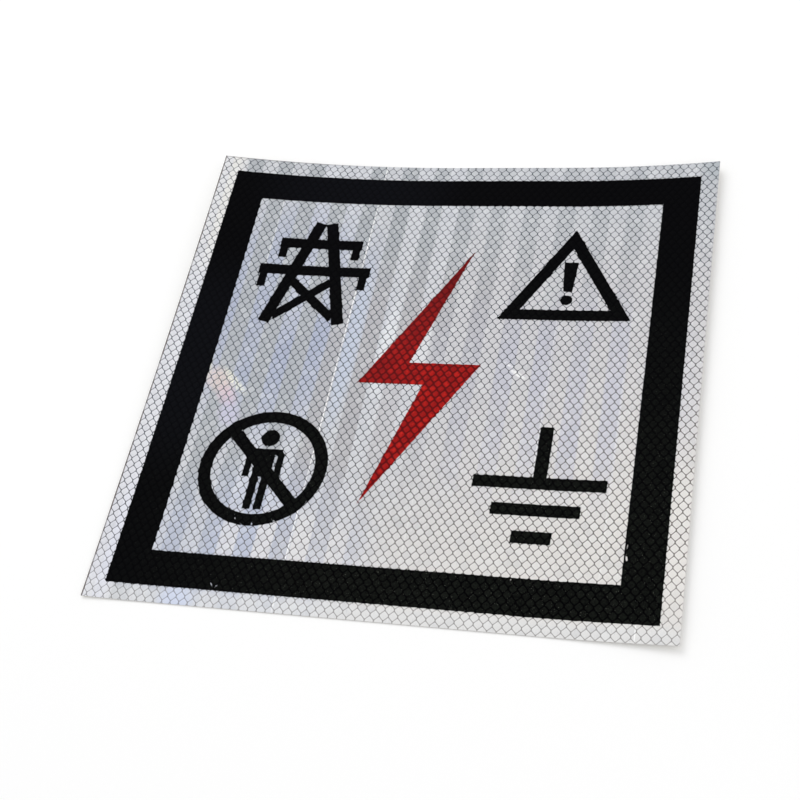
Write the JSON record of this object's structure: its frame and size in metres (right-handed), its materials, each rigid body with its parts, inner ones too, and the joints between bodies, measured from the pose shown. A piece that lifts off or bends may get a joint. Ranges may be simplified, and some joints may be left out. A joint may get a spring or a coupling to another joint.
{
  "type": "high voltage warning sign",
  "caption": "Square reflective film warning sign with a black border band, a red lightning bolt and gently curled sides.",
  "frame": {"origin": "middle of the sign, on the flat underside of the film", "axes": "+X to the sign's right, +Y to the sign's top, +Z out of the printed face"},
  "size_m": [0.2999, 0.3, 0.0123],
  "materials": {
    "film": "silver-white prismatic reflective film with a diamond cell pattern under a smooth clear face",
    "black_print": "satin black print",
    "red_print": "transparent red print over the reflective film"
  },
  "bodies": {
    "root": {"reflective_film": "film", "black_frame": "black_print", "red_bolt": "red_print"}
  },
  "joints": []
}
